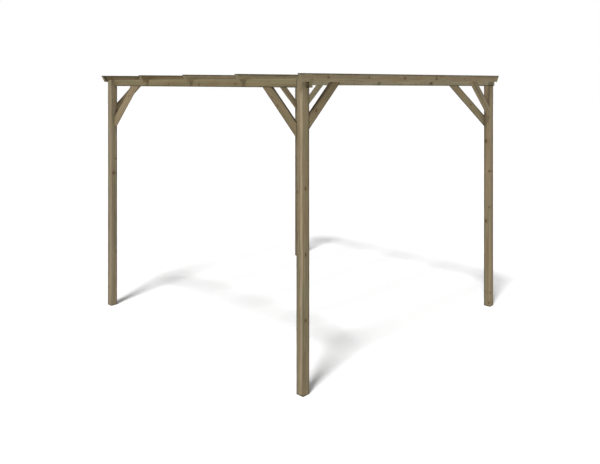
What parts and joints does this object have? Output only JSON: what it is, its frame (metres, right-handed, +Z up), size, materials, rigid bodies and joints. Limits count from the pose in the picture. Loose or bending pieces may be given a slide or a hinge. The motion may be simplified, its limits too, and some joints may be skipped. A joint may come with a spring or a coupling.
{
  "type": "open timber carport frame",
  "caption": "Open carport frame in pressure-treated pine: square posts rebated for side beams, notched rafters with raked ends, and mitred knee braces at every corner.",
  "frame": {"origin": "on the ground, in the middle of the frame", "axes": "+Z up, +X along the rafters, +Y along the beams from front to back"},
  "size_m": [3, 3, 2.444],
  "materials": {
    "post_timber": "planed pressure-treated pine, matt, greenish brown",
    "beam_timber": "planed pressure-treated pine, matt, greenish brown",
    "rafter_timber": "planed pressure-treated pine, matt, greenish brown",
    "brace_timber": "planed pressure-treated pine, matt, greenish brown"
  },
  "bodies": {
    "root": {"front_left_post": "post_timber", "front_right_post": "post_timber", "back_left_post": "post_timber", "back_right_post": "post_timber", "left_beam": "beam_timber", "right_beam": "beam_timber", "rafter_1": "rafter_timber", "rafter_2": "rafter_timber", "rafter_3": "rafter_timber", "rafter_4": "rafter_timber", "rafter_5": "rafter_timber", "front_left_beam_brace": "brace_timber", "front_right_beam_brace": "brace_timber", "back_left_beam_brace": "brace_timber", "back_right_beam_brace": "brace_timber", "front_left_rafter_brace": "brace_timber", "front_right_rafter_brace": "brace_timber", "back_left_rafter_brace": "brace_timber", "back_right_rafter_brace": "brace_timber"}
  },
  "joints": []
}
